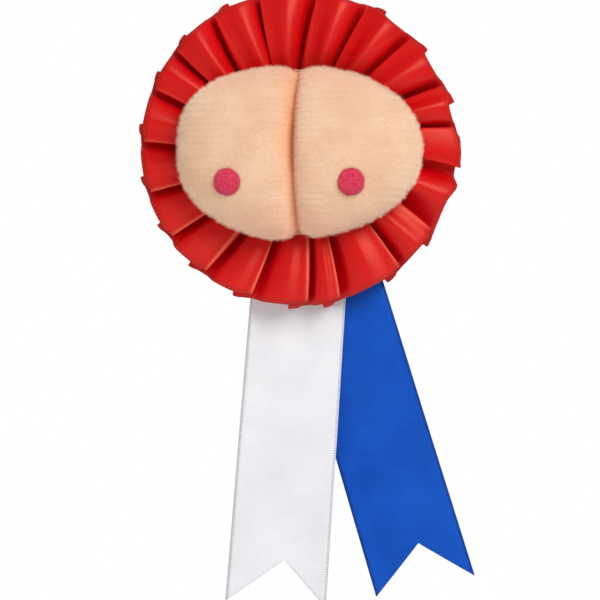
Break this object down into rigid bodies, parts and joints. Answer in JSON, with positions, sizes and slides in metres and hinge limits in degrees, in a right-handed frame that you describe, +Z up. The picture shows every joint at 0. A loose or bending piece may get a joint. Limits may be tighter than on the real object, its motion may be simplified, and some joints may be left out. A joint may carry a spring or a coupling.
{
  "type": "award rosette",
  "caption": "Prize rosette: pleated red satin ruffle, stuffed two-lobed knit pad with felt dots, white and blue swallow-tail ribbons, and a bar pin behind.",
  "frame": {"origin": "centre of the back disc's rear face, which lies against the garment", "axes": "+Y out of the rear, towards the wearer; the front faces -Y; +X to the right of the front view; +Z up as worn, along the tails"},
  "size_m": [0.1296, 0.0446, 0.239],
  "materials": {
    "red_satin": "bright satin weave",
    "red_thread": "sewing thread",
    "card": "plain grey-white card",
    "peach_knit": "brushed rib knit",
    "wadding": "polyester fibre",
    "pink_thread": "sewing thread",
    "raspberry_felt": "felt",
    "white_satin": "satin weave",
    "blue_satin": "satin weave",
    "staple_wire": "bright steel wire",
    "nickel": "nickel-plated steel",
    "glue": "hot-melt glue",
    "linen_thread": "waxed thread"
  },
  "bodies": {
    "rosette": {"pleated_ruffle": "red_satin", "gather_thread": "red_thread", "front_card": "card", "pad_cover": "peach_knit", "left_filling": "wadding", "right_filling": "wadding", "cinch_thread": "pink_thread", "left_dot": "raspberry_felt", "right_dot": "raspberry_felt", "white_tail_top": "white_satin", "blue_tail_top": "blue_satin", "tail_staple": "staple_wire", "back_disc": "card", "glue_dabs": "glue", "pin_bar": "nickel", "pin_rivet": "nickel", "bar_stitches": "linen_thread"},
    "white_tail": {"white_tail": "white_satin"},
    "blue_tail": {"blue_tail": "blue_satin"},
    "needle": {"pin_needle": "nickel"},
    "catch": {"catch_barrel": "nickel"}
  },
  "joints": [
    {"name": "white_tail_lift", "type": "hinge", "parent": "rosette", "child": "white_tail", "pos_m": [-0.00104, -0.00272, -0.0642], "axis": [-0.9973, 0, 0.0732], "range_deg": [0, 65]},
    {"name": "blue_tail_swing", "type": "hinge", "parent": "rosette", "child": "blue_tail", "pos_m": [0.01639, -0.00208, -0.06201], "axis": [0.9573, 0, 0.289], "range_deg": [0, 60]},
    {"name": "needle_swing", "type": "hinge", "parent": "rosette", "child": "needle", "pos_m": [-0.01695, 0.0032, 0.014], "axis": [0, 0, 1], "range_deg": [0, 110]},
    {"name": "catch_turn", "type": "hinge", "parent": "rosette", "child": "catch", "pos_m": [0.0157, 0.0032, 0.014], "axis": [1, 0, 0], "range_deg": [0, 110]}
  ]
}
